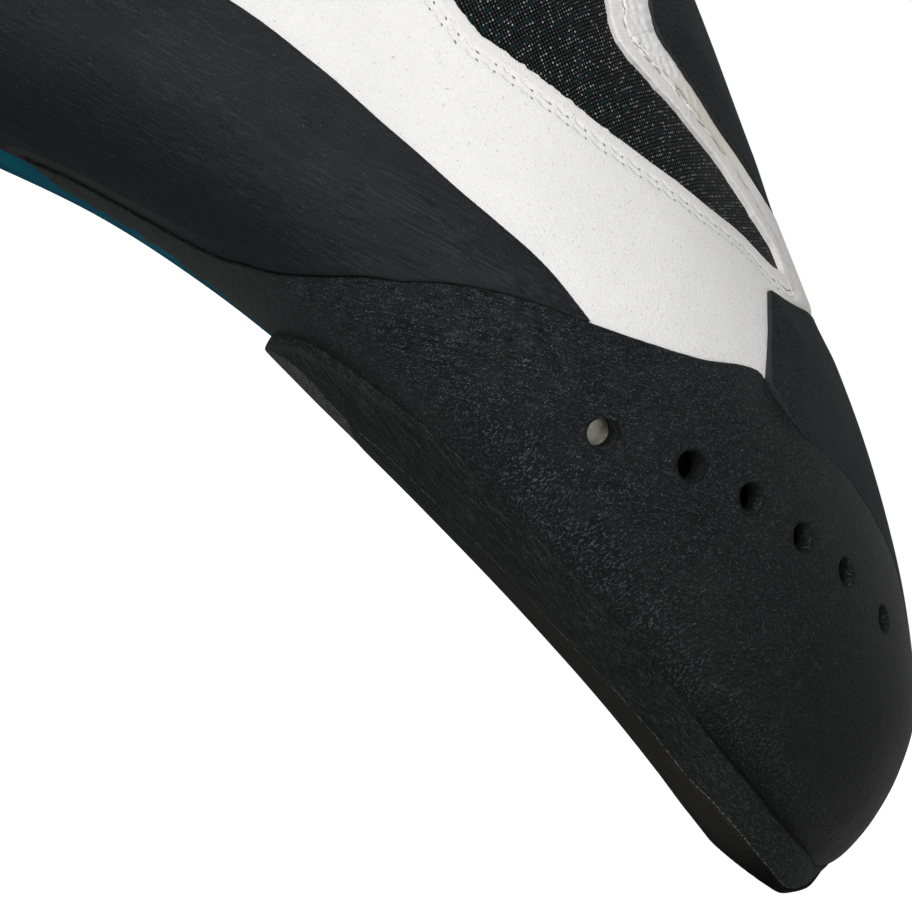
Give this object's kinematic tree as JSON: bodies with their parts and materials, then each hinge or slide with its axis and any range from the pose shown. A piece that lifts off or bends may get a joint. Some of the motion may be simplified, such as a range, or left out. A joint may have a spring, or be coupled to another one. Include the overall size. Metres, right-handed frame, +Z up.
{
  "type": "climbing shoe",
  "caption": "Downturned slip-on climbing shoe for the right foot, with a half sole, rubber rands, a vented toe, a toe-hook patch and an elastic instep.",
  "frame": {"origin": "on the floor, below the centre of the shoe's box", "axes": "+X towards the toe, +Y towards the inner side of the foot, +Z up from the floor that the sole stands on"},
  "size_m": [0.2412, 0.0874, 0.1163],
  "materials": {
    "microfibre": "off-white microfibre with a fine nap, with black elastic mesh over the instep",
    "midsole": "matte deep blue-green board",
    "rough_rubber": "buffed black rubber with a coarse grain",
    "smooth_rubber": "smooth black rubber with a faint sheen",
    "sole_rubber": "smooth black rubber with a ground edge",
    "lining": "beige lining",
    "tape": "black woven tape"
  },
  "bodies": {
    "root": {"upper": "microfibre", "midsole": "midsole", "toe_rand": "rough_rubber", "heel_rand": "smooth_rubber", "toe_patch": "smooth_rubber", "outsole_front": "sole_rubber", "outsole_heel": "sole_rubber", "insole": "lining", "collar_binding": "tape"}
  },
  "joints": []
}
